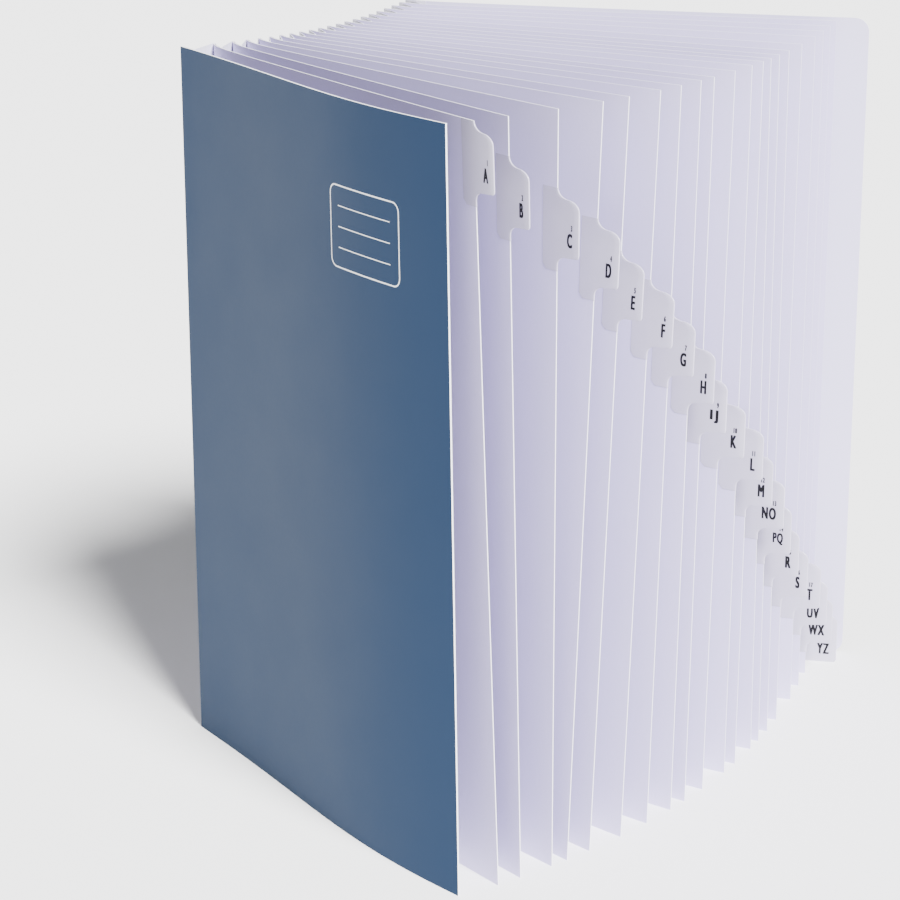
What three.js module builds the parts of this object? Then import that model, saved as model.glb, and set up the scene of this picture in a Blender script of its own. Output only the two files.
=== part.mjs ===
// Alphabetical desk sorter: twenty index dividers glued into a pleated spine between two covers,
// standing on end and fanned open. Lengths are in millimetres, +Z is up, and the bottom edges
// stand on z = 0. The spine lies toward -X, the tabs point to +X, and the front cover faces -Y.

import * as THREE from 'three';

// Sheets
const sheetHeight = 320;
const dividerWidth = 209;
const dividerThickness = 0.4;
const frontCoverWidth = 209;
const backCoverWidth = 222;
const coverThickness = 0.8;
const backCornerRadius = 6.5;

// Index tabs and the clear film folded round each of them
const tabReach = 12;
const tabHeight = 29;
const upperShoulder = 8;
const lowerShoulder = 3;
const filmThickness = 0.15;
const filmGap = 0.15;
const filmMargin = 8;
const filmTail = 4.5;
const filmChamfer = 2;

// Pleated spine: one folded strip, with a divider glued in each outer fold
const pleatDepth = 10;
const stripThickness = 0.3;
const glueGap = 0.1;
const foldWidth = 0.9;
const spineBow = 18.5;
const spineSkew = -10;
const smallestPitch = 5.8;
const frontPitchGain = 8.5;
const frontPitchFade = 1.1;
const rearPitchGain = 4.6;

// Fan: directions in plan, in degrees from +X, how far the free edges lean from upright, in
// degrees toward the back cover, and how the sheets bow
const frontCoverTurn = -17.8;
const frontCoverLean = -1.1;
const frontCoverBow = 5.5;
const frontBowSkew = 1.8;
const backCoverTurn = 24;
const backCoverLean = -2.5;
const firstDividerTurn = -17.9;
const lastDividerTurn = 22.4;
const dividerBow = 4;
const backCoverBow = 5;
const marginBend = 7;

// Where the faces of a sheet break past its glued margin, as shares of its width, and how many
// faces the front cover has across
const bendShares = [0.105, 0.29, 0.575];
const frontCoverFaces = 9;

// Each divider strays a little from the even fan, and its free edge leans a little from upright.
// Both are in degrees.
const dividers = [
  { label: 'A', stray: 0, lean: -2.4 },
  { label: 'B', stray: -1, lean: -1.6 },
  { label: 'C', stray: 0.5, lean: -0.3 },
  { label: 'D', stray: 1, lean: 2.4 },
  { label: 'E', stray: 1, lean: 2.7 },
  { label: 'F', stray: 2.5, lean: 2.7 },
  { label: 'G', stray: 3, lean: 2 },
  { label: 'H', stray: 3.5, lean: 1.4 },
  { label: 'IJ', stray: 2.5, lean: 1.2 },
  { label: 'K', stray: 3, lean: 1.6 },
  { label: 'L', stray: 4, lean: 0.7 },
  { label: 'M', stray: 3, lean: 0.7 },
  { label: 'NO', stray: 2.5, lean: -1.1 },
  { label: 'PQ', stray: 1, lean: -1.1 },
  { label: 'R', stray: 0, lean: -1.1 },
  { label: 'S', stray: 0, lean: -0.4 },
  { label: 'T', stray: 2, lean: -1.1 },
  { label: 'UV', stray: 2, lean: -1.4 },
  { label: 'WX', stray: 1.5, lean: -1.6 },
  { label: 'YZ', stray: 1, lean: -1.8 },
];

// Colours
const coverBlue = 0x4a6b8c;
const boardWhite = 0xeeeef4;
const dividerWhite = 0xe4e4ee;
const filmGrey = 0xd4d6dc;
const stripWhite = 0xdcdce4;

const sheetCount = dividers.length + 2;
const toRadians = THREE.MathUtils.degToRad;

// Room that one pleat takes along the spine between sheet number n and the next one.
function pitchAfter(n) {
  const share = n / dividers.length;
  const front = frontPitchGain * Math.exp(-n / frontPitchFade);
  return smallestPitch + front + rearPitchGain * share * share;
}

// Spine edges of all sheets in plan, from the front cover to the back cover.
function spineEdges() {
  const depths = [0];
  for (let n = 0; n < sheetCount - 1; n += 1) {
    depths.push(depths[n] + pitchAfter(n));
  }
  const total = depths[sheetCount - 1];
  return depths.map((depth) => {
    const share = depth / total;
    const bow = spineBow * Math.sin(Math.PI * share ** 0.85);
    return new THREE.Vector2(spineSkew * share + bow, depth);
  });
}

const edges = spineEdges();

// How far a divider or the back cover bows toward the front, at a distance from its spine edge.
function glueLineBow(sheet, along) {
  const share = along / sheet.width;
  return -sheet.bow * (1 - Math.exp(-along / marginBend)) * (1 - share * share);
}

// The front cover bows most toward its free edge.
function frontCoverCurve(sheet, along) {
  const share = THREE.MathUtils.clamp(along / sheet.width, 0, 1);
  return -sheet.bow * Math.sin(Math.PI * share ** frontBowSkew);
}

const frontCover = {
  edge: edges[0],
  width: frontCoverWidth,
  thickness: coverThickness,
  turn: toRadians(frontCoverTurn),
  lean: toRadians(frontCoverLean),
  bow: frontCoverBow,
  curve: frontCoverCurve,
};

const backCover = {
  edge: edges[sheetCount - 1],
  width: backCoverWidth,
  thickness: coverThickness,
  turn: toRadians(backCoverTurn),
  lean: toRadians(backCoverLean),
  bow: backCoverBow,
  curve: glueLineBow,
};

function dividerSheet(index) {
  const share = index / (dividers.length - 1);
  const evenTurn = THREE.MathUtils.lerp(firstDividerTurn, lastDividerTurn, share);
  return {
    edge: edges[index + 1],
    width: dividerWidth,
    thickness: dividerThickness,
    turn: toRadians(evenTurn + dividers[index].stray),
    lean: toRadians(dividers[index].lean),
    bow: dividerBow,
    curve: glueLineBow,
  };
}

// Place of a sheet's point: along from its spine edge, across from its middle plane (+ toward the
// back cover) and up. The glued margin is upright, and the lean grows from there to the free edge.
function sheetPoint(sheet, along, across, up) {
  const probe = 0.01;
  const offsetAt = (distance) => {
    const free = Math.max(distance - pleatDepth, 0) / (sheet.width - pleatDepth);
    const leaning = Math.tan(sheet.lean) * (up - sheetHeight / 2);
    return sheet.curve(sheet, distance) + leaning * free;
  };
  const slope = (offsetAt(along) - offsetAt(along - probe)) / probe;
  const normal = new THREE.Vector2(-slope, 1).normalize();
  const flat = new THREE.Vector2(along, offsetAt(along)).addScaledVector(normal, across);
  flat.rotateAround(new THREE.Vector2(), sheet.turn).add(sheet.edge);
  return new THREE.Vector3(flat.x, flat.y, up);
}

// Moves every vertex of a geometry to the place that a function gives for it.
function reshape(geometry, place) {
  const positions = geometry.attributes.position;
  const corner = new THREE.Vector3();
  for (let i = 0; i < positions.count; i += 1) {
    const moved = place(corner.fromBufferAttribute(positions, i));
    positions.setXYZ(i, moved.x, moved.y, moved.z);
  }
  geometry.computeVertexNormals();
  return geometry;
}

// A box cuts the squares of its -Y face along the other diagonal than those of its +Y face. Cut
// the same way, the two faces stay parallel, and a twisted sheet keeps its thickness.
function matchDiagonals(box) {
  const frontFace = box.groups[3];
  for (let i = frontFace.start; i < frontFace.start + frontFace.count; i += 6) {
    const [a, b, c, d] = [i, i + 1, i + 4, i + 2].map((n) => box.index.getX(n));
    [a, b, c, a, c, d].forEach((vertex, n) => box.index.setX(i + n, vertex));
  }
}

// Columns of a glued sheet: across its margin, and where it bends from there to the last one.
function gluedColumns(width, last) {
  return [0, pleatDepth / 2, pleatDepth, ...bendShares.map((share) => share * width), last];
}

// A thin sheet: a box with one column of faces per bend and one row per step of its free edge.
// Each row is { up, reach }, with reach the sheet's width at that height.
function sheetGeometry(sheet, columns, rows) {
  const box = new THREE.BoxGeometry(1, 1, 1, columns.length, 1, rows.length - 1);
  matchDiagonals(box);
  return reshape(box, (corner) => {
    const column = Math.round((corner.x + 0.5) * columns.length);
    const row = rows[Math.round((corner.z + 0.5) * (rows.length - 1))];
    const along = column < columns.length ? columns[column] : row.reach;
    return sheetPoint(sheet, along, corner.y * sheet.thickness, row.up);
  });
}

// Free edge of a tab from its lower end to its upper end, with an S-shaped shoulder at each end.
function tabOutline(bottom) {
  const easing = [0, 1 / 3, 2 / 3, 1];
  const rise = (share) => dividerWidth + tabReach * THREE.MathUtils.smoothstep(share, 0, 1);
  const lower = easing.map((share) => ({
    up: bottom + lowerShoulder * share,
    reach: rise(share),
  }));
  const upper = easing.map((share) => ({
    up: bottom + tabHeight - upperShoulder * (1 - share),
    reach: rise(1 - share),
  }));
  return [...lower, ...upper];
}

// The tabs step down the free edges, the first at the top of its divider and the last at the foot.
function tabBottom(index) {
  const step = (sheetHeight - tabHeight) / (dividers.length - 1);
  return sheetHeight - tabHeight - step * index;
}

// Rows for a plain stretch of free edge, with one halfway so that a twisted sheet stays smooth.
function plainEdge(from, to) {
  const heights = [from, (from + to) / 2, to];
  return from < to ? heights.map((up) => ({ up, reach: dividerWidth })) : [];
}

function dividerGeometry(index) {
  const outline = tabOutline(tabBottom(index));
  const foot = plainEdge(0, outline[0].up).slice(0, 2);
  const head = plainEdge(outline[outline.length - 1].up, sheetHeight).slice(1);
  const columns = gluedColumns(dividerWidth, dividerWidth - filmMargin);
  return sheetGeometry(dividerSheet(index), columns, [...foot, ...outline, ...head]);
}

// Film of one tab: a U in plan that wraps the free edge, with a tail below the tab where the
// divider goes on, and a chamfered lower corner.
function filmGeometry(index) {
  const outline = tabOutline(tabBottom(index));
  const middle = outline.length / 2;
  const inner = dividerWidth - filmMargin;
  const rows = outline.map((row, n) => ({
    up: THREE.MathUtils.clamp(row.up + (n < middle ? -filmGap : filmGap), 0, sheetHeight),
    reach: row.reach,
    inner,
  }));
  if (index < dividers.length - 1) {
    const foot = rows[0].up - filmTail;
    rows.unshift({ up: foot + filmChamfer, reach: dividerWidth, inner });
    rows.unshift({ up: foot, reach: dividerWidth, inner: inner + filmChamfer });
  }
  const innerFace = dividerThickness / 2 + filmGap;
  const outerFace = innerFace + filmThickness;
  const profile = new THREE.Shape();
  profile.moveTo(0, -outerFace);
  profile.lineTo(2, -outerFace);
  profile.lineTo(2, outerFace);
  profile.lineTo(0, outerFace);
  profile.lineTo(0, innerFace);
  profile.lineTo(1, innerFace);
  profile.lineTo(1, -innerFace);
  profile.lineTo(0, -innerFace);
  const steps = rows.length - 1;
  const band = new THREE.ExtrudeGeometry(profile, { depth: steps, steps, bevelEnabled: false });
  const sheet = dividerSheet(index);
  return reshape(band, (corner) => {
    const row = rows[Math.round(corner.z)];
    const fold = row.reach + filmGap;
    const along = [row.inner, fold, fold + filmThickness][Math.round(corner.x)];
    return sheetPoint(sheet, along, corner.y, row.up);
  });
}

function frontCoverGeometry() {
  const columns = Array.from({ length: frontCoverFaces }, (_, n) => (
    frontCoverWidth * n / frontCoverFaces
  ));
  const rows = [
    { up: 0, reach: frontCoverWidth },
    { up: sheetHeight, reach: frontCoverWidth },
  ];
  return sheetGeometry(frontCover, columns, rows);
}

// The back cover's two free corners are rounded.
function backCoverGeometry() {
  const arc = [0, 30, 60, 90].map(toRadians);
  const cut = backCornerRadius;
  const lower = arc.map((angle) => ({
    up: cut * (1 - Math.cos(angle)),
    reach: backCoverWidth - cut * (1 - Math.sin(angle)),
  }));
  const upper = lower.map((row) => ({ up: sheetHeight - row.up, reach: row.reach })).reverse();
  const columns = gluedColumns(backCoverWidth, backCoverWidth - 2 * cut);
  return sheetGeometry(backCover, columns, [...lower, ...upper]);
}

// Middle line of the folded strip in plan. It starts on the inner face of the front cover, runs
// out and back between each pair of sheets, and ends on the inner face of the back cover.
function stripPath() {
  const path = [];
  const flank = [0, pleatDepth / 2, pleatDepth];
  const clear = glueGap + stripThickness / 2;
  const place = (sheet, along, across) => {
    const point = sheetPoint(sheet, along, across, sheetHeight / 2);
    path.push(new THREE.Vector2(point.x, point.y));
  };
  const addInnerFlank = (sheet, start) => {
    const face = sheet.thickness / 2 + clear;
    place(sheet, start, face);
    flank.slice(1).forEach((along) => place(sheet, along, face));
    place(sheet, pleatDepth, face + foldWidth);
  };
  addInnerFlank(frontCover, stripThickness);
  dividers.forEach((entry, index) => {
    const sheet = dividerSheet(index);
    place(sheet, -clear, -sheet.thickness / 2 - clear);
    addInnerFlank(sheet, -clear);
  });
  const lastFace = -coverThickness / 2 - clear;
  place(backCover, 0, lastFace - foldWidth);
  flank.forEach((along) => place(backCover, along, lastFace));
  return path;
}

// One side of the strip, at half its thickness from the middle line, mitred at each fold.
function offsetPath(path, distance) {
  return path.map((point, n) => {
    const before = path[Math.max(n - 1, 0)];
    const after = path[Math.min(n + 1, path.length - 1)];
    const incoming = n === 0 ? after.clone().sub(point) : point.clone().sub(before);
    const outgoing = n === path.length - 1 ? incoming.clone() : after.clone().sub(point);
    const normals = [incoming, outgoing].map((leg) => {
      const unit = leg.clone().normalize();
      return new THREE.Vector2(-unit.y, unit.x);
    });
    const mitre = normals[0].clone().add(normals[1]).normalize();
    return point.clone().addScaledVector(mitre, distance / mitre.dot(normals[0]));
  });
}

function pleatedSpineGeometry() {
  const path = stripPath();
  const left = offsetPath(path, stripThickness / 2);
  const right = offsetPath(path, -stripThickness / 2);
  const section = new THREE.Shape([...left, ...right.reverse()]);
  return new THREE.ExtrudeGeometry(section, { depth: sheetHeight, bevelEnabled: false });
}

function addPiece(group, name, geometry, color, roughness) {
  const material = new THREE.MeshStandardMaterial({ color, roughness, metalness: 0 });
  const mesh = new THREE.Mesh(geometry, material);
  mesh.name = name;
  group.add(mesh);
}

function buildSorter() {
  const sorter = new THREE.Group();
  addPiece(sorter, 'front_cover', frontCoverGeometry(), coverBlue, 0.42);
  addPiece(sorter, 'back_cover', backCoverGeometry(), boardWhite, 0.5);
  addPiece(sorter, 'pleated_spine', pleatedSpineGeometry(), stripWhite, 0.75);
  dividers.forEach(({ label }, index) => {
    const suffix = label.toLowerCase();
    addPiece(sorter, `divider_${suffix}`, dividerGeometry(index), dividerWhite, 0.7);
    addPiece(sorter, `tab_film_${suffix}`, filmGeometry(index), filmGrey, 0.3);
  });
  const extent = new THREE.Box3().setFromObject(sorter);
  const middle = extent.getCenter(new THREE.Vector3());
  sorter.position.set(-middle.x, -middle.y, 0);
  return sorter;
}

export default buildSorter();
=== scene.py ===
"""Alphabetical desk sorter, fanned open on end: boards, dividers, tabs, film, print and spine.

Lengths are in metres. The spine lies toward -X, the tabs point to +X, the front cover faces -Y,
and the bottom edges stand on z = 0, as in the frame.
"""

import logging
import math
from dataclasses import dataclass, field
from enum import Enum
from typing import Callable, Iterable, Sequence, Union

import bpy
from mathutils import Euler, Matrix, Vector


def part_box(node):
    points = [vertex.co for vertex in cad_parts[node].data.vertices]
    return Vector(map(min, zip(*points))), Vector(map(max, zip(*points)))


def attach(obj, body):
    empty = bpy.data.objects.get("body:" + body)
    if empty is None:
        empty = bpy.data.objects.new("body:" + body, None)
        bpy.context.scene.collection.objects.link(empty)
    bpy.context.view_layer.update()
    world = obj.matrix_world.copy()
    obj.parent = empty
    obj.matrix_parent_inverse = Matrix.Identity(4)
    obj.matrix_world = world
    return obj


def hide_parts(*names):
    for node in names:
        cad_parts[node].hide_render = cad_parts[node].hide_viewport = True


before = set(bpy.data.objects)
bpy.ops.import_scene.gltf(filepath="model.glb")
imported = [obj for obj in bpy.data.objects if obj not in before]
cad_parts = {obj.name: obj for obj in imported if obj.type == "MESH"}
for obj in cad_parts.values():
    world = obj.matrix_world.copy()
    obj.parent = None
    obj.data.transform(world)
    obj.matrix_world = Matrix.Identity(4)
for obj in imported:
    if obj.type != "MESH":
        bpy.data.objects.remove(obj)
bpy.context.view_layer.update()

log = logging.getLogger("desk_sorter")

MM = 0.001
SPINE_BODY = "spine_and_dividers"
# Angle in degrees from which an edge stays sharp
SHARP_ANGLE = 40.0
# A length under this counts as none
NO_LENGTH = 0.001 * MM


# Shader building

Number = Union[float, "Signal"]
Colour = tuple[float, float, float, float]


@dataclass(frozen=True)
class Grain:
    """One layer of noise: features per metre, octaves, and its scale along the height."""

    scale: float
    octaves: float
    upright: float = 1.0


class Signal:
    """One value of a shader tree, so that shader maths reads as plain expressions."""

    def __init__(self, socket: bpy.types.NodeSocket) -> None:
        """Wrap a socket.

        Args:
            socket: The output socket that carries the value.
        """
        self.socket = socket
        self.tree = socket.id_data

    def _math(self, operation: str, other: Number) -> "Signal":
        """Add one Math node with this value on its left.

        Args:
            operation: The Math node's operation.
            other: Right value.

        Returns:
            The node's result.
        """
        node = self.tree.nodes.new("ShaderNodeMath")
        node.operation = operation
        self.tree.links.new(self.socket, node.inputs[0])
        if isinstance(other, Signal):
            self.tree.links.new(other.socket, node.inputs[1])
        else:
            node.inputs[1].default_value = other
        return Signal(node.outputs[0])

    def __add__(self, other: Number) -> "Signal":
        """Sum of two values."""
        return self._math("ADD", other)

    def __mul__(self, other: Number) -> "Signal":
        """Product of two values."""
        return self._math("MULTIPLY", other)


class FinishTree:
    """Node tree of one material, with one method for every kind of node."""

    def __init__(self, name: str) -> None:
        """Start a material with a Principled shader.

        Args:
            name: The material's name.
        """
        self.material = bpy.data.materials.new(name)
        self.material.use_nodes = True
        self.tree = self.material.node_tree
        self.tree.nodes.clear()
        self.shader = self.tree.nodes.new("ShaderNodeBsdfPrincipled")
        output = self.tree.nodes.new("ShaderNodeOutputMaterial")
        self.tree.links.new(self.shader.outputs["BSDF"], output.inputs["Surface"])

    def feed(self, slot: bpy.types.NodeSocket, value: object) -> None:
        """Link or set one input socket.

        Args:
            slot: The input socket.
            value: A Signal, an output socket or a plain value.
        """
        if isinstance(value, Signal):
            self.tree.links.new(value.socket, slot)
        elif isinstance(value, bpy.types.NodeSocket):
            self.tree.links.new(value, slot)
        else:
            slot.default_value = value

    def node(self, kind: str, **values: object) -> bpy.types.Node:
        """Add a node and feed its sockets.

        Args:
            kind: The node's type.
            **values: Sockets by name, with spaces written as underscores.

        Returns:
            The new node.
        """
        node = self.tree.nodes.new(kind)
        for key, value in values.items():
            self.feed(node.inputs[key.replace("_", " ")], value)
        return node

    def place(self) -> bpy.types.NodeSocket:
        """Object coordinates, in metres."""
        return self.node("ShaderNodeTexCoord").outputs["Object"]

    def noise(self, grain: Grain) -> Signal:
        """Noise over the piece.

        Args:
            grain: The layer. An upright scale under 1 draws its features out along the height.

        Returns:
            The noise, from 0 to 1.
        """
        place = self.place()
        if grain.upright != 1.0:
            mapped = self.node("ShaderNodeMapping", Vector=place, Scale=(1.0, 1.0, grain.upright))
            place = mapped.outputs["Vector"]
        noise = self.node("ShaderNodeTexNoise", Vector=place, Scale=grain.scale,
                          Detail=grain.octaves)
        return Signal(noise.outputs["Fac"])

    def blend(self, share: Number, first: object, second: object) -> bpy.types.NodeSocket:
        """Mix two colours.

        Args:
            share: Part of the second colour.
            first: Colour or socket.
            second: Colour or socket.

        Returns:
            The mixed colour.
        """
        node = self.tree.nodes.new("ShaderNodeMix")
        node.data_type = "RGBA"
        self.feed(node.inputs["Factor"], share)
        self.feed(node.inputs["A"], first)
        self.feed(node.inputs["B"], second)
        return node.outputs["Result"]

    def relief(self, height: Signal, depth: float, strength: float) -> None:
        """Bump the surface.

        Args:
            height: Height from 0 to 1.
            depth: Height of a full step in metres.
            strength: Share of the bump that shows.
        """
        bump = self.node("ShaderNodeBump", Strength=strength, Distance=depth, Height=height)
        self.feed(self.shader.inputs["Normal"], bump.outputs["Normal"])

    def surface(self, **values: object) -> None:
        """Feed the Principled shader's sockets.

        Args:
            **values: Sockets by name, with spaces written as underscores.
        """
        for key, value in values.items():
            self.feed(self.shader.inputs[key.replace("_", " ")], value)


def paint(red: int, green: int, blue: int) -> Colour:
    """Turn a screen colour into the linear colour that the shader works in.

    Args:
        red: Red, 0 to 255.
        green: Green, 0 to 255.
        blue: Blue, 0 to 255.

    Returns:
        The linear colour with full alpha.
    """
    def linear(channel: int) -> float:
        """One channel, from screen value to linear."""
        share = channel / 255
        return share / 12.92 if share <= 0.04045 else ((share + 0.055) / 1.055) ** 2.4
    return (linear(red), linear(green), linear(blue), 1.0)


# Finishes

@dataclass(frozen=True)
class CardFinish:
    """Uncoated index card: faint fibres, a soft mottle and a dry surface."""

    name: str
    light: Colour
    shade: Colour
    cloud: Grain = Grain(14.0, 2.0)
    fibres: Grain = Grain(900.0, 4.0, 0.35)
    specks: Grain = Grain(2600.0, 2.0)
    cloud_share: float = 0.55
    fibre_share: float = 0.7
    smoothest: float = 0.56
    roughness_swing: float = 0.12
    specular: float = 0.35
    relief_depth: float = 0.012 * MM
    relief_strength: float = 0.55

    def build(self) -> bpy.types.Material:
        """Make the material.

        Returns:
            The material.
        """
        tree = FinishTree(self.name)
        cloud = tree.noise(self.cloud)
        fibres = tree.noise(self.fibres)
        specks = tree.noise(self.specks)
        tone = cloud * self.cloud_share + fibres * (1 - self.cloud_share)
        tree.surface(
            Base_Color=tree.blend(tone, self.shade, self.light),
            Roughness=fibres * self.roughness_swing + self.smoothest,
            Specular_IOR_Level=self.specular,
        )
        height = fibres * self.fibre_share + specks * (1 - self.fibre_share)
        tree.relief(height, self.relief_depth, self.relief_strength)
        return tree.material


@dataclass(frozen=True)
class LaminateFinish:
    """Printed board under a satin film: even ink, fine orange peel and a soft coat."""

    name: str
    light: Colour
    deep: Colour
    drift: Grain = Grain(5.0, 2.0)
    ink: Grain = Grain(1400.0, 2.0)
    peel: Grain = Grain(520.0, 2.0)
    handling: Grain = Grain(38.0, 5.0)
    drift_share: float = 0.75
    peel_share: float = 0.8
    smoothest: float = 0.38
    handling_swing: float = 0.1
    peel_swing: float = 0.05
    specular: float = 0.08
    coat: float = 0.04
    coat_roughness: float = 0.3
    relief_depth: float = 0.015 * MM
    relief_strength: float = 0.5

    def build(self) -> bpy.types.Material:
        """Make the material.

        Returns:
            The material.
        """
        tree = FinishTree(self.name)
        drift = tree.noise(self.drift)
        ink = tree.noise(self.ink)
        peel = tree.noise(self.peel)
        handling = tree.noise(self.handling)
        tone = drift * self.drift_share + ink * (1 - self.drift_share)
        wear = handling * self.handling_swing + peel * self.peel_swing
        tree.surface(
            Base_Color=tree.blend(tone, self.deep, self.light),
            Roughness=wear + self.smoothest,
            Specular_IOR_Level=self.specular,
            Coat_Weight=self.coat,
            Coat_Roughness=self.coat_roughness,
        )
        height = peel * self.peel_share + ink * (1 - self.peel_share)
        tree.relief(height, self.relief_depth, self.relief_strength)
        return tree.material


@dataclass(frozen=True)
class CutEdgeFinish:
    """Bare cut edge of card or board. The boards show their white layers seen end on. On the
    dividers the near-white edge is a painted highlight, whiter than the lavender card.
    """

    name: str
    light: Colour
    shade: Colour
    layers: Grain = Grain(1800.0, 3.0, 0.12)
    roughness: float = 0.75
    specular: float = 0.25
    relief_depth: float = 0.02 * MM
    relief_strength: float = 0.5

    def build(self) -> bpy.types.Material:
        """Make the material.

        Returns:
            The material.
        """
        tree = FinishTree(self.name)
        layers = tree.noise(self.layers)
        tree.surface(
            Base_Color=tree.blend(layers, self.shade, self.light),
            Roughness=self.roughness,
            Specular_IOR_Level=self.specular,
        )
        tree.relief(layers, self.relief_depth, self.relief_strength)
        return tree.material


@dataclass(frozen=True)
class FilmFinish:
    """Clear glossy film over the card, which greys it a little."""

    name: str
    light: Colour
    shade: Colour
    ripple: Grain = Grain(160.0, 2.0)
    smear: Grain = Grain(60.0, 4.0)
    ripple_share: float = 0.5
    smoothest: float = 0.18
    roughness_swing: float = 0.12
    specular: float = 0.5
    coat: float = 0.15
    coat_roughness: float = 0.12
    relief_depth: float = 0.03 * MM
    relief_strength: float = 0.35

    def build(self) -> bpy.types.Material:
        """Make the material.

        Returns:
            The material.
        """
        tree = FinishTree(self.name)
        ripple = tree.noise(self.ripple)
        smear = tree.noise(self.smear)
        tone = ripple * self.ripple_share + smear * (1 - self.ripple_share)
        tree.surface(
            Base_Color=tree.blend(tone, self.shade, self.light),
            Roughness=smear * self.roughness_swing + self.smoothest,
            Specular_IOR_Level=self.specular,
            Coat_Weight=self.coat,
            Coat_Roughness=self.coat_roughness,
        )
        tree.relief(ripple, self.relief_depth, self.relief_strength)
        return tree.material


@dataclass(frozen=True)
class InkFinish:
    """Flat printed ink with slightly uneven cover."""

    name: str
    colour: Colour
    worn: Colour
    cover: Grain = Grain(3000.0, 2.0)
    wear: float = 0.6
    smoothest: float = 0.45
    roughness_swing: float = 0.15
    specular: float = 0.2

    def build(self) -> bpy.types.Material:
        """Make the material.

        Returns:
            The material.
        """
        tree = FinishTree(self.name)
        cover = tree.noise(self.cover)
        tree.surface(
            Base_Color=tree.blend(cover * self.wear, self.colour, self.worn),
            Roughness=cover * self.roughness_swing + self.smoothest,
            Specular_IOR_Level=self.specular,
        )
        return tree.material


@dataclass(frozen=True)
class PleatFinish:
    """Tough spine paper: long random fibres in a rough surface."""

    name: str
    light: Colour
    shade: Colour
    fibres: Grain = Grain(420.0, 6.0, 0.25)
    swirl: Grain = Grain(110.0, 5.0)
    fibre_share: float = 0.6
    smoothest: float = 0.62
    roughness_swing: float = 0.15
    specular: float = 0.3
    relief_depth: float = 0.05 * MM
    relief_strength: float = 0.6

    def build(self) -> bpy.types.Material:
        """Make the material.

        Returns:
            The material.
        """
        tree = FinishTree(self.name)
        fibres = tree.noise(self.fibres)
        swirl = tree.noise(self.swirl)
        tone = fibres * self.fibre_share + swirl * (1 - self.fibre_share)
        tree.surface(
            Base_Color=tree.blend(tone, self.shade, self.light),
            Roughness=swirl * self.roughness_swing + self.smoothest,
            Specular_IOR_Level=self.specular,
        )
        tree.relief(tone, self.relief_depth, self.relief_strength)
        return tree.material


@dataclass(frozen=True)
class FloorFinish:
    """Matt pale floor."""

    name: str
    colour: Colour
    roughness: float = 0.9
    specular: float = 0.1

    def build(self) -> bpy.types.Material:
        """Make the material.

        Returns:
            The material.
        """
        tree = FinishTree(self.name)
        tree.surface(Base_Color=self.colour, Roughness=self.roughness,
                     Specular_IOR_Level=self.specular)
        return tree.material


@dataclass
class Finishes:
    """Every material of the sorter, made once."""

    blue_face: bpy.types.Material = field(init=False)
    white_face: bpy.types.Material = field(init=False)
    card_face: bpy.types.Material = field(init=False)
    # Divider cut edge: near white as a painted highlight
    card_edge_painted_highlight: bpy.types.Material = field(init=False)
    board_edge: bpy.types.Material = field(init=False)
    tab_film: bpy.types.Material = field(init=False)
    black_ink: bpy.types.Material = field(init=False)
    white_ink: bpy.types.Material = field(init=False)
    spine_paper: bpy.types.Material = field(init=False)
    floor: bpy.types.Material = field(init=False)

    def __post_init__(self) -> None:
        """Build all materials."""
        self.blue_face = LaminateFinish(
            "blue_laminate", paint(24, 50, 80), paint(18, 42, 70)).build()
        self.white_face = LaminateFinish(
            "white_laminate", paint(216, 211, 238), paint(206, 201, 230), smoothest=0.43).build()
        self.card_face = CardFinish(
            "divider_card", paint(211, 204, 238), paint(198, 190, 228)).build()
        # The divider edge colour is a painted highlight: near white and far whiter than the card, so
        # each edge shows as a bright line.
        self.card_edge_painted_highlight = CutEdgeFinish(
            "divider_edge_painted_highlight", paint(250, 250, 252), paint(236, 236, 242)).build()
        self.board_edge = CutEdgeFinish(
            "board_cut_edge", paint(250, 250, 252), paint(232, 233, 238)).build()
        self.tab_film = FilmFinish(
            "tab_film_clear", paint(192, 187, 206), paint(182, 177, 197)).build()
        self.black_ink = InkFinish("index_ink", paint(12, 11, 15), paint(26, 25, 30)).build()
        self.white_ink = InkFinish("label_ink", paint(246, 248, 250), paint(226, 230, 236)).build()
        self.spine_paper = PleatFinish(
            "pleat_paper", paint(228, 226, 240), paint(212, 209, 226)).build()
        self.floor = FloorFinish("pale_floor", paint(252, 252, 252)).build()


# Modelling by hand

def deselect_everything() -> None:
    """Leave edit mode and deselect all objects."""
    active = bpy.context.view_layer.objects.active
    if active is not None and active.mode != "OBJECT":
        bpy.ops.object.mode_set(mode="OBJECT")
    bpy.ops.object.select_all(action="DESELECT")


def pick(piece: bpy.types.Object) -> None:
    """Select one object alone and make it active.

    Args:
        piece: The object.
    """
    deselect_everything()
    piece.select_set(True)
    bpy.context.view_layer.objects.active = piece


def apply_modifier(piece: bpy.types.Object, kind: str, name: str, **settings: object) -> None:
    """Add a modifier and apply it.

    Args:
        piece: The object.
        kind: The modifier's type.
        name: The modifier's name.
        **settings: Its settings.
    """
    pick(piece)
    modifier = piece.modifiers.new(name, kind)
    for key, value in settings.items():
        setattr(modifier, key, value)
    bpy.ops.object.modifier_apply(modifier=modifier.name)


def smooth_by_angle(piece: bpy.types.Object) -> None:
    """Smooth the shading except over sharp edges.

    Args:
        piece: The object.
    """
    pick(piece)
    bpy.ops.object.shade_smooth_by_angle(angle=math.radians(SHARP_ANGLE))


def new_grid(name: str, columns: int, rows: int) -> bpy.types.Object:
    """Add a flat grid whose faces will be bent into a sheet.

    Args:
        name: The object's name.
        columns: Faces from the spine edge to the free edge.
        rows: Faces from the foot to the head.

    Returns:
        The grid, one unit wide and high, around the origin.
    """
    deselect_everything()
    bpy.ops.mesh.primitive_grid_add(x_subdivisions=columns, y_subdivisions=rows, size=1.0)
    piece = bpy.context.view_layer.objects.active
    piece.name = name
    piece.data.name = name
    return piece


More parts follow.
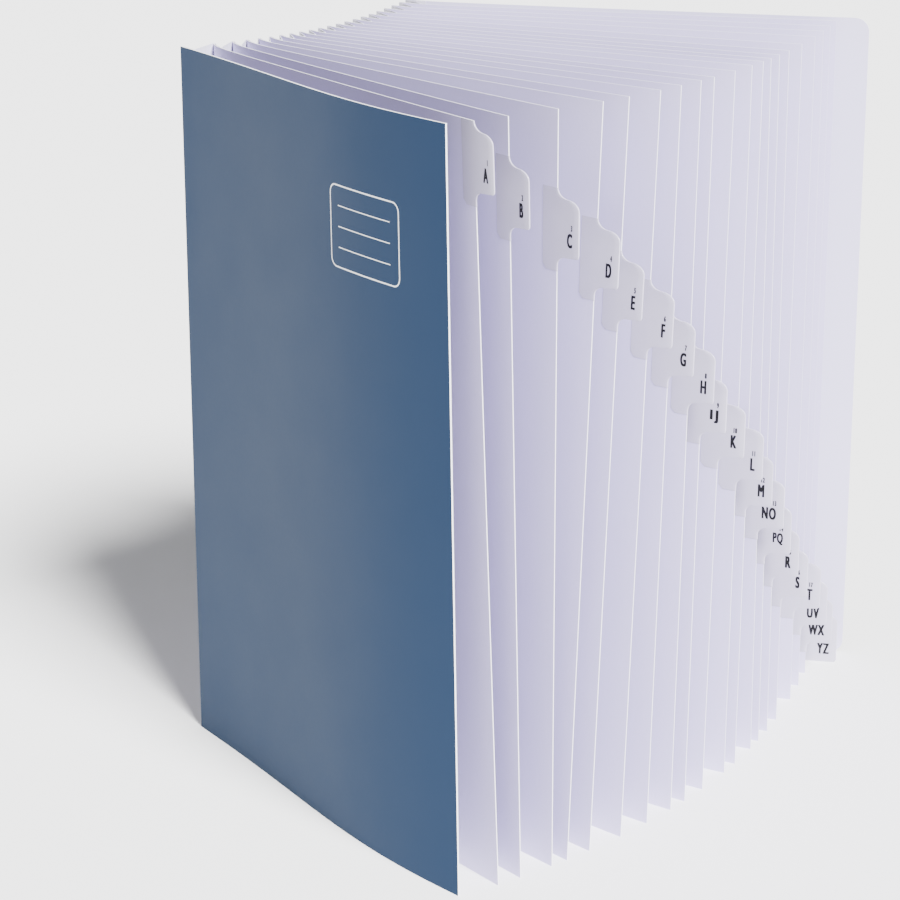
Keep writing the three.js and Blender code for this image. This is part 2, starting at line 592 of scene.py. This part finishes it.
def bend_grid(piece: bpy.types.Object, columns: int, rows: int,
              place: Callable[[int, int], Vector]) -> None:
    """Move each corner of a grid to the place that its column and row give.

    Args:
        piece: The grid.
        columns: Its faces across.
        rows: Its faces up.
        place: Place of the corner in a column and a row.
    """
    for corner in piece.data.vertices:
        column = round((corner.co.x + 0.5) * columns)
        row = round((corner.co.y + 0.5) * rows)
        corner.co = place(column, row)
    piece.data.update()


def dress(piece: bpy.types.Object, *finishes: bpy.types.Material) -> None:
    """Give a piece its materials in slot order.

    Args:
        piece: The object.
        *finishes: The materials.
    """
    piece.data.materials.clear()
    for finish in finishes:
        piece.data.materials.append(finish)


# The fan of sheets

class BowStyle(Enum):
    """How a sheet bows between its spine edge and its free edge."""

    GLUED_MARGIN = "bends just past its glued margin"
    LOOSE_EDGE = "bows most toward its free edge"


@dataclass
class Sheet:
    """One board or divider in the fan."""

    edge: Vector
    width: float
    thickness: float
    turn: float
    lean: float
    bow: float
    style: BowStyle
    height: float
    margin: float
    bend: float = 7 * MM
    skew: float = 1.8

    def offset(self, along: float, up: float) -> float:
        """Distance of the middle plane from the straight chord.

        Args:
            along: Distance from the spine edge.
            up: Height.

        Returns:
            The distance, + toward the back cover.
        """
        share = along / self.width
        if self.style is BowStyle.GLUED_MARGIN:
            bowed = -self.bow * (1 - math.exp(-along / self.bend)) * (1 - share * share)
        else:
            bowed = -self.bow * math.sin(math.pi * min(max(share, 0.0), 1.0) ** self.skew)
        free = max(along - self.margin, 0.0) / (self.width - self.margin)
        return bowed + math.tan(self.lean) * (up - self.height / 2) * free

    def place(self, along: float, across: float, up: float) -> Vector:
        """Place of a point of the sheet.

        Args:
            along: Distance from the spine edge.
            across: Distance from the middle plane, + toward the back cover.
            up: Height.

        Returns:
            The point in the frame.
        """
        probe = 0.01 * MM
        here = self.offset(along, up)
        slope = (here - self.offset(along - probe, up)) / probe
        normal = Vector((-slope, 1.0)).normalized()
        x = along + normal.x * across
        y = here + normal.y * across
        cosine, sine = math.cos(self.turn), math.sin(self.turn)
        return Vector((
            self.edge.x + cosine * x - sine * y,
            self.edge.y + sine * x + cosine * y,
            up,
        ))


@dataclass(frozen=True)
class Entry:
    """One divider's letters, its stray from the even fan and its free edge's lean, in degrees.

    The letters can be drawn wider and further apart, and all print can sit lower on the tab.
    """

    letters: str
    stray: float
    lean: float
    widen: float = 1.0
    drop: float = 0.0

    @property
    def suffix(self) -> str:
        """Ending of the names of this divider's pieces."""
        return self.letters.lower()


INDEX = (
    Entry("A", 0, -2.4), Entry("B", -1, -1.6), Entry("C", 0.5, -0.3),
    Entry("D", 1, 2.4), Entry("E", 1, 2.7), Entry("F", 2.5, 2.7),
    Entry("G", 3, 2), Entry("H", 3.5, 1.4), Entry("IJ", 2.5, 1.2, widen=1.85),
    Entry("K", 3, 1.6), Entry("L", 4, 0.7), Entry("M", 3, 0.7),
    Entry("NO", 2.5, -1.1), Entry("PQ", 1, -1.1), Entry("R", 0, -1.1),
    Entry("S", 0, -0.4), Entry("T", 2, -1.1), Entry("UV", 2, -1.4, drop=0.9 * MM),
    Entry("WX", 1.5, -1.6, drop=0.9 * MM), Entry("YZ", 1, -1.8, drop=2.2 * MM),
)


@dataclass
class Fan:
    """Sizes and places of all sheets, from the same driving values as the frame."""

    height: float = 320 * MM
    divider_width: float = 209 * MM
    divider_thickness: float = 0.4 * MM
    front_width: float = 209 * MM
    back_width: float = 222 * MM
    cover_thickness: float = 0.8 * MM
    pleat_depth: float = 10 * MM
    spine_bow: float = 18.5 * MM
    spine_skew: float = -10 * MM
    smallest_pitch: float = 5.8 * MM
    front_gain: float = 8.5 * MM
    front_fade: float = 1.1
    rear_gain: float = 4.6 * MM
    spine_ease: float = 0.85
    first_turn: float = -17.9
    last_turn: float = 22.4
    divider_bow: float = 4 * MM
    front_turn: float = -17.8
    front_lean: float = -1.1
    front_bow: float = 5.5 * MM
    back_turn: float = 24.0
    back_lean: float = -2.5
    back_bow: float = 5 * MM
    edges: list[Vector] = field(init=False)

    def __post_init__(self) -> None:
        """Lay out the spine edges and move them to the frame's origin."""
        count = len(INDEX)
        depths = [0.0]
        for n in range(count + 1):
            share = n / count
            front = self.front_gain * math.exp(-n / self.front_fade)
            depths.append(depths[n] + self.smallest_pitch + front + self.rear_gain * share ** 2)
        self.edges = []
        for depth in depths:
            share = depth / depths[-1]
            bow = self.spine_bow * math.sin(math.pi * share ** self.spine_ease)
            self.edges.append(Vector((self.spine_skew * share + bow, depth)))
        low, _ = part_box("front_cover")
        corners = [self.front_cover().place(along, side * self.cover_thickness / 2, up)
                   for along in (0.0, self.front_width) for side in (-1, 1)
                   for up in (0.0, self.height)]
        shift = Vector((low[0] - min(corner.x for corner in corners),
                        low[1] - min(corner.y for corner in corners)))
        self.edges = [edge + shift for edge in self.edges]

    def front_cover(self) -> Sheet:
        """The front cover.

        Returns:
            The sheet.
        """
        return Sheet(self.edges[0], self.front_width, self.cover_thickness,
                     math.radians(self.front_turn), math.radians(self.front_lean),
                     self.front_bow, BowStyle.LOOSE_EDGE, self.height, self.pleat_depth)

    def back_cover(self) -> Sheet:
        """The back cover.

        Returns:
            The sheet.
        """
        return Sheet(self.edges[-1], self.back_width, self.cover_thickness,
                     math.radians(self.back_turn), math.radians(self.back_lean),
                     self.back_bow, BowStyle.GLUED_MARGIN, self.height, self.pleat_depth)

    def divider(self, index: int) -> Sheet:
        """One divider.

        Args:
            index: Its place in the index, from 0.

        Returns:
            The sheet.
        """
        even = self.first_turn + (self.last_turn - self.first_turn) * index / (len(INDEX) - 1)
        return Sheet(self.edges[index + 1], self.divider_width, self.divider_thickness,
                     math.radians(even + INDEX[index].stray), math.radians(INDEX[index].lean),
                     self.divider_bow, BowStyle.GLUED_MARGIN, self.height, self.pleat_depth)


@dataclass(frozen=True)
class EdgeRow:
    """One height of a free edge, with the sheet's reach there."""

    up: float
    reach: float


@dataclass
class TabCut:
    """Die-cut outline of an index tab: an S-shaped upper shoulder and a square lower one."""

    fan: Fan
    reach: float = 12 * MM
    height: float = 29 * MM
    upper_shoulder: float = 8 * MM
    fillet_drop: float = 1.6 * MM
    fillet_reach: float = 4.4 * MM
    fillet_rise: float = 3.6 * MM
    lower_slope: float = 0.4 * MM
    lower_round: float = 1.6 * MM
    arc_steps: int = 6

    def bottom(self, index: int) -> float:
        """Height of a tab's lower end.

        Args:
            index: The divider's place in the index.

        Returns:
            The height.
        """
        span = self.fan.height - self.height
        return span - span * index / (len(INDEX) - 1)

    def outline(self, index: int) -> list[EdgeRow]:
        """Free edge of one tab from its lower end to its upper end.

        Args:
            index: The divider's place in the index.

        Returns:
            The rows, which rise all the way.
        """
        width = self.fan.divider_width
        base = self.bottom(index)
        top = base + self.height
        arc = [math.radians(90 * step / self.arc_steps) for step in range(self.arc_steps + 1)]
        fillet = []
        level = base
        if base > self.fillet_drop:
            start = base - self.fillet_drop
            fillet = [EdgeRow(start + self.fillet_rise * math.sin(angle),
                              width + self.fillet_reach * (1 - math.cos(angle))) for angle in arc]
            level = start + self.fillet_rise + self.lower_slope
        outer = width + self.reach
        corner = [EdgeRow(level + self.lower_round * (1 - math.cos(angle)),
                          outer - self.lower_round * (1 - math.sin(angle))) for angle in arc]
        half_reach, half_rise = self.reach / 2, self.upper_shoulder / 2
        convex = [EdgeRow(top - half_rise * (2 - math.sin(angle)),
                          width + half_reach * (1 + math.cos(angle))) for angle in arc]
        concave = [EdgeRow(top - half_rise * math.cos(angle),
                           width + half_reach * (1 - math.sin(angle))) for angle in arc[1:]]
        return [*fillet, *corner, *convex, *concave]


def ease_steps(start: float, stop: float, longest: float) -> list[float]:
    """Even heights between two ends, the ends left out.

    Args:
        start: Lower end.
        stop: Upper end.
        longest: Longest step.

    Returns:
        The heights between.
    """
    count = max(int(math.ceil((stop - start) / longest)), 1)
    return [start + (stop - start) * n / count for n in range(1, count)]


# Pieces

@dataclass
class BoardBuilder:
    """Shapes flat sheets and gives them their thickness."""

    finishes: Finishes
    longest_step: float = 14 * MM
    flat_step: float = 10 * MM
    bend_columns: tuple[float, ...] = (0, 1.5, 3, 5, 7.5, 10, 13, 16, 20, 25, 32, 40)
    outer_columns: int = 4

    def columns(self, stop: float) -> list[float]:
        """Distances from the spine edge, close together where a sheet bends.

        Args:
            stop: The last distance.

        Returns:
            The distances.
        """
        places = [column * MM for column in self.bend_columns]
        return places + ease_steps(places[-1], stop, self.flat_step) + [stop]

    def shape(self, name: str, sheet: Sheet, rows: Sequence[EdgeRow], stop: float,
              faces: Sequence[bpy.types.Material]) -> bpy.types.Object:
        """Bend a grid to a sheet, thicken it and dress it.

        Args:
            name: The piece's name.
            sheet: The sheet.
            rows: Its free edge from foot to head.
            stop: Distance from the spine edge up to which columns stay upright.
            faces: Materials of the front face, the back face and the cut edge.

        Returns:
            The piece.
        """
        columns = self.columns(stop)
        across = len(columns) - 1 + self.outer_columns
        piece = new_grid(name, across, len(rows) - 1)

        def place(column: int, row: int) -> Vector:
            """Place of one corner of the grid."""
            edge = rows[row]
            if column < len(columns):
                return sheet.place(columns[column], 0.0, edge.up)
            share = (column - len(columns) + 1) / self.outer_columns
            return sheet.place(stop + (edge.reach - stop) * share, 0.0, edge.up)

        bend_grid(piece, across, len(rows) - 1, place)
        dress(piece, *faces)
        apply_modifier(piece, "SOLIDIFY", "board", thickness=sheet.thickness, offset=0.0,
                       use_even_offset=True, material_offset=1, material_offset_rim=2)
        smooth_by_angle(piece)
        return piece


@dataclass
class Covers:
    """Front and back boards."""

    fan: Fan
    boards: BoardBuilder
    corner: float = 6.5 * MM
    corner_steps: int = 8
    free_margin: float = 8 * MM

    def front(self) -> bpy.types.Object:
        """Front board with its blue face outside.

        Returns:
            The board.
        """
        sheet = self.fan.front_cover()
        steps = ease_steps(0.0, sheet.height, self.boards.longest_step)
        rows = [EdgeRow(up, sheet.width) for up in [0.0, *steps, sheet.height]]
        finishes = self.boards.finishes
        piece = self.boards.shape("front_board", sheet, rows, sheet.width - self.free_margin,
                                  (finishes.blue_face, finishes.white_face, finishes.board_edge))
        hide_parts("front_cover")
        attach(piece, "front_cover")
        return piece

    def back(self) -> bpy.types.Object:
        """Back board with rounded free corners and its white face inside.

        Returns:
            The board.
        """
        sheet = self.fan.back_cover()
        arc = [math.radians(90 * step / self.corner_steps)
               for step in range(self.corner_steps + 1)]
        foot = [EdgeRow(self.corner * (1 - math.cos(angle)),
                        sheet.width - self.corner * (1 - math.sin(angle))) for angle in arc]
        head = [EdgeRow(sheet.height - row.up, row.reach) for row in reversed(foot)]
        middle = [EdgeRow(up, sheet.width) for up in
                  ease_steps(self.corner, sheet.height - self.corner, self.boards.longest_step)]
        finishes = self.boards.finishes
        piece = self.boards.shape("back_board", sheet, [*foot, *middle, *head],
                                  sheet.width - 2 * self.corner,
                                  (finishes.white_face, finishes.blue_face, finishes.board_edge))
        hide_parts("back_cover")
        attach(piece, "back_cover")
        return piece

    def build(self) -> list[bpy.types.Object]:
        """Make both boards.

        Returns:
            The boards.
        """
        return [self.front(), self.back()]


@dataclass
class CoverLabel:
    """Blank label printed on the front board: a rounded frame with ruled lines to write on."""

    fan: Fan
    finishes: Finishes
    middle: float = 157 * MM
    level: float = 268 * MM
    width: float = 48 * MM
    height: float = 34 * MM
    corner: float = 4 * MM
    corner_steps: int = 8
    cuts: int = 3
    line: float = 0.6 * MM
    rule_line: float = 0.4 * MM
    rule_margin: float = 6 * MM
    rule_steps: int = 16
    rules: int = 3
    ink_thickness: float = 0.04 * MM

    def frame(self) -> bpy.types.Object:
        """Flat rounded frame, around the origin.

        Returns:
            The frame.
        """
        deselect_everything()
        bpy.ops.mesh.primitive_plane_add(size=1.0)
        ring = bpy.context.view_layer.objects.active
        bpy.ops.object.mode_set(mode="EDIT")
        bpy.ops.mesh.select_all(action="SELECT")
        bpy.ops.transform.resize(value=(self.width, self.height, 1))
        bpy.ops.mesh.bevel(offset=self.corner, segments=self.corner_steps, affect="VERTICES")
        bpy.ops.mesh.subdivide(number_cuts=self.cuts)
        bpy.ops.mesh.select_all(action="SELECT")
        bpy.ops.mesh.inset(thickness=self.line)
        bpy.ops.mesh.delete(type="FACE")
        bpy.ops.object.mode_set(mode="OBJECT")
        return ring

    def rule(self, number: int) -> bpy.types.Object:
        """One flat ruled line.

        Args:
            number: Its place, from 0 at the foot.

        Returns:
            The line.
        """
        deselect_everything()
        pitch = self.height / (self.rules + 1)
        place = (0, pitch * (number + 1) - self.height / 2, 0)
        bpy.ops.mesh.primitive_grid_add(x_subdivisions=self.rule_steps, y_subdivisions=1,
                                        size=1.0, location=place)
        rule = bpy.context.view_layer.objects.active
        bpy.ops.object.mode_set(mode="EDIT")
        bpy.ops.mesh.select_all(action="SELECT")
        bpy.ops.transform.resize(value=(self.width - 2 * self.rule_margin, self.rule_line, 1))
        bpy.ops.object.mode_set(mode="OBJECT")
        return rule

    def build(self) -> bpy.types.Object:
        """Make the label and lay it on the board.

        Returns:
            The label.
        """
        label = self.frame()
        rules = [self.rule(number) for number in range(self.rules)]
        pick(label)
        for rule in rules:
            rule.select_set(True)
        bpy.ops.object.join()
        bpy.ops.object.transform_apply(location=True, rotation=True, scale=True)
        label.name = "cover_label"
        label.data.name = label.name
        sheet = self.fan.front_cover()
        for corner in label.data.vertices:
            corner.co = sheet.place(self.middle + corner.co.x,
                                    -sheet.thickness / 2 - self.ink_thickness,
                                    self.level + corner.co.y)
        dress(label, self.finishes.white_ink)
        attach(label, "front_cover")
        return label


@dataclass
class Divider:
    """One index divider with its film and its printed letters."""

    fan: Fan
    boards: BoardBuilder
    cut: TabCut
    index: int
    film_margin: float = 8 * MM
    film_tail: float = 2.4 * MM
    film_chamfer: float = 2 * MM
    film_gap: float = 0.03 * MM
    film_thickness: float = 0.08 * MM
    film_columns: int = 6
    fold_columns: int = 6
    letter_height: float = 5.7 * MM
    letter_level: float = 6.4 * MM
    letter_bold: float = 0.15
    number_height: float = 2.3 * MM
    number_level: float = 13.1 * MM
    number_bold: float = 0.18
    print_margin: float = 3.3 * MM
    print_gap: float = 0.02 * MM
    ink_layer: float = 0.002 * MM
    condense: float = 0.5
    curve_steps: int = 4
    bold_passes: int = 4
    bold_spacing: float = 1.5
    wide_spacing: float = 0.3

    @property
    def sheet(self) -> Sheet:
        """The divider's sheet."""
        return self.fan.divider(self.index)

    @property
    def suffix(self) -> str:
        """Ending of the names of this divider's pieces."""
        return INDEX[self.index].suffix

    def card(self) -> bpy.types.Object:
        """The die-cut card.

        Returns:
            The card.
        """
        width = self.fan.divider_width
        outline = self.cut.outline(self.index)
        low, high = outline[0].up, outline[-1].up
        rows = list(outline)
        if low > NO_LENGTH:
            foot = [0.0, *ease_steps(0.0, low, self.boards.longest_step)]
            rows = [EdgeRow(up, width) for up in foot] + rows
        if high < self.fan.height - NO_LENGTH:
            head = [*ease_steps(high, self.fan.height, self.boards.longest_step), self.fan.height]
            rows += [EdgeRow(up, width) for up in head]
        # The cut edge gets a painted highlight: a near-white finish, whiter than the card faces.
        finishes = self.boards.finishes
        piece = self.boards.shape(f"card_{self.suffix}", self.sheet, rows,
                                  width - self.film_margin,
                                  (finishes.card_face, finishes.card_face, finishes.card_edge_painted_highlight))
        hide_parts(f"divider_{self.suffix}")
        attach(piece, SPINE_BODY)
        return piece

    def film(self) -> bpy.types.Object:
        """The film, folded round the free edge.

        Returns:
            The film.
        """
        sheet = self.sheet
        outline = self.cut.outline(self.index)
        inner = self.fan.divider_width - self.film_margin
        rows = [(row.up, row.reach, inner) for row in outline]
        if outline[0].up > self.film_tail:
            foot = outline[0].up - self.film_tail
            width = self.fan.divider_width
            tail = [(foot + self.film_chamfer * share, width,
                     inner + self.film_chamfer * (1 - share)) for share in (0, 0.5, 1)]
            rows = tail + rows
        clear = sheet.thickness / 2 + self.film_gap + self.film_thickness / 2
        flat, turns = self.film_columns, self.fold_columns
        across = 2 * flat + turns
        piece = new_grid(f"film_{self.suffix}", across, len(rows) - 1)

        def place(column: int, row: int) -> Vector:
            """Place of one corner of the film's grid."""
            up, reach, start = rows[row]
            if column <= flat:
                return sheet.place(start + (reach - start) * column / flat, -clear, up)
            if column >= flat + turns:
                share = (across - column) / flat
                return sheet.place(start + (reach - start) * share, clear, up)
            angle = math.pi * (column - flat) / turns
            return sheet.place(reach + clear * math.sin(angle), -clear * math.cos(angle), up)

        bend_grid(piece, across, len(rows) - 1, place)
        dress(piece, self.boards.finishes.tab_film)
        apply_modifier(piece, "SOLIDIFY", "film", thickness=self.film_thickness, offset=0.0)
        smooth_by_angle(piece)
        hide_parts(f"tab_film_{self.suffix}")
        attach(piece, SPINE_BODY)
        return piece

    def text(self, body: str, height: float, level: float, bold: float,
             widen: float = 1.0) -> bpy.types.Object:
        """One line of print as a flat mesh laid on the tab.

        Args:
            body: The characters.
            height: Their height.
            level: Height of their foot over the tab's lower end.
            bold: How much each upright stroke widens, as a share of the type size.
            widen: How much wider the characters are drawn. It also sets them further apart.

        Returns:
            The print.
        """
        deselect_everything()
        bpy.ops.object.text_add(location=(0, 0, 0))
        line = bpy.context.view_layer.objects.active
        line.data.body = body
        line.data.size = 1.0
        line.data.resolution_u = self.curve_steps
        line.data.space_character = 1 + self.bold_spacing * bold + self.wide_spacing * (widen - 1)
        pick(line)
        bpy.ops.object.convert(target="MESH")
        line = bpy.context.view_layer.objects.active
        step = bold / self.bold_passes
        bpy.ops.object.mode_set(mode="EDIT")
        bpy.ops.mesh.select_all(action="SELECT")
        for _ in range(self.bold_passes):
            bpy.ops.mesh.duplicate()
            bpy.ops.transform.translate(value=(step, 0, self.ink_layer))
        bpy.ops.mesh.select_all(action="SELECT")
        bpy.ops.mesh.duplicate()
        bpy.ops.transform.translate(value=(0, step, self.ink_layer * (self.bold_passes + 1)))
        bpy.ops.object.mode_set(mode="OBJECT")
        corners = line.data.vertices
        foot = min(corner.co.y for corner in corners)
        scale = height / (max(corner.co.y for corner in corners) - foot)
        right = max(corner.co.x for corner in corners)
        sheet = self.sheet
        edge = self.fan.divider_width + self.cut.reach - self.print_margin
        base = self.cut.bottom(self.index) + level - INDEX[self.index].drop
        clear = sheet.thickness / 2 + self.film_gap + self.film_thickness + self.print_gap
        for corner in corners:
            along = edge + (corner.co.x - right) * scale * self.condense * widen
            up = base + (corner.co.y - foot) * scale
            corner.co = sheet.place(along, -clear - corner.co.z, up)
        return line

    def print_marks(self) -> bpy.types.Object:
        """Letters and number of this tab, joined to one piece of print.

        Returns:
            The print.
        """
        entry = INDEX[self.index]
        letters = self.text(entry.letters, self.letter_height, self.letter_level,
                            self.letter_bold, entry.widen)
        number = self.text(str(self.index + 1), self.number_height, self.number_level,
                           self.number_bold)
        deselect_everything()
        number.select_set(True)
        letters.select_set(True)
        bpy.context.view_layer.objects.active = letters
        bpy.ops.object.join()
        letters.name = f"print_{self.suffix}"
        letters.data.name = letters.name
        dress(letters, self.boards.finishes.black_ink)
        for face in letters.data.polygons:
            face.material_index = 0
        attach(letters, SPINE_BODY)
        return letters

    def build(self) -> list[bpy.types.Object]:
        """Make the card, its film and its print.

        Returns:
            The three pieces.
        """
        return [self.card(), self.film(), self.print_marks()]


@dataclass
class Spine:
    """The pleated strip, kept from the frame with its own paper."""

    finishes: Finishes

    def build(self) -> None:
        """Dress the strip."""
        strip = bpy.data.objects["pleated_spine"]
        for slot in strip.material_slots:
            slot.material = self.finishes.spine_paper


# Studio

@dataclass
class Studio:
    """Floor, light and camera."""

    finishes: Finishes
    floor_size: float = 12.0
    sky_colour: Colour = (0.96, 0.97, 1.0, 1.0)
    sky_strength: float = 0.35
    key_source: Vector = field(default_factory=lambda: Vector((1.2, -0.45, 1.27)))
    key_strength: float = 16.0
    key_softness: float = 20.0
    sensor: float = 36.0
    lens: float = 107.22
    station: Vector = field(default_factory=lambda: Vector((0.69214, -0.94025, 0.51009)))
    azimuth: float = 38.0
    pitch: float = 17.887

    def floor(self) -> None:
        """Lay the pale floor."""
        deselect_everything()
        bpy.ops.mesh.primitive_plane_add(size=self.floor_size, location=(0, 0, 0))
        floor = bpy.context.view_layer.objects.active
        floor.name = "studio_floor"
        dress(floor, self.finishes.floor)

    def key(self) -> None:
        """Shine the key light, as large and as far away as a lit studio wall."""
        lamp = bpy.data.lights.new("key_right", "SUN")
        lamp.energy = self.key_strength
        lamp.angle = math.radians(self.key_softness)
        holder = bpy.data.objects.new("key_right", lamp)
        holder.location = self.key_source
        holder.rotation_euler = (-self.key_source).to_track_quat("-Z", "Y").to_euler()
        bpy.context.scene.collection.objects.link(holder)

    def sky(self) -> None:
        """Fill the studio with even white light."""
        world = bpy.data.worlds.new("studio_white")
        world.use_nodes = True
        shade = world.node_tree.nodes["Background"]
        shade.inputs["Color"].default_value = self.sky_colour
        shade.inputs["Strength"].default_value = self.sky_strength
        bpy.context.scene.world = world

    def camera(self) -> None:
        """Set the camera where the photograph was taken."""
        data = bpy.data.cameras.new("photo_camera")
        data.lens = self.lens
        data.sensor_width = self.sensor
        camera = bpy.data.objects.new("photo_camera", data)
        camera.location = self.station
        camera.rotation_euler = Euler((math.radians(90 - self.pitch), 0, math.radians(self.azimuth)))
        bpy.context.scene.collection.objects.link(camera)
        bpy.context.scene.camera = camera

    def build(self) -> None:
        """Set up the whole studio."""
        self.floor()
        self.sky()
        self.key()
        self.camera()


def report(pieces: Iterable[bpy.types.Object]) -> None:
    """Log each piece with its triangles.

    Args:
        pieces: The pieces.
    """
    for piece in pieces:
        triangles = sum(len(face.vertices) - 2 for face in piece.data.polygons)
        log.info("%s: %d triangles", piece.name, triangles)


def main() -> None:
    """Build the sorter and its studio."""
    logging.basicConfig(level=logging.INFO, format="%(name)s %(message)s")
    finishes = Finishes()
    Studio(finishes).build()
    fan = Fan()
    boards = BoardBuilder(finishes)
    cut = TabCut(fan)
    report(Covers(fan, boards).build())
    report([CoverLabel(fan, finishes).build()])
    for index in range(len(INDEX)):
        report(Divider(fan, boards, cut, index).build())
    Spine(finishes).build()


if __name__ == "__main__":
    main()
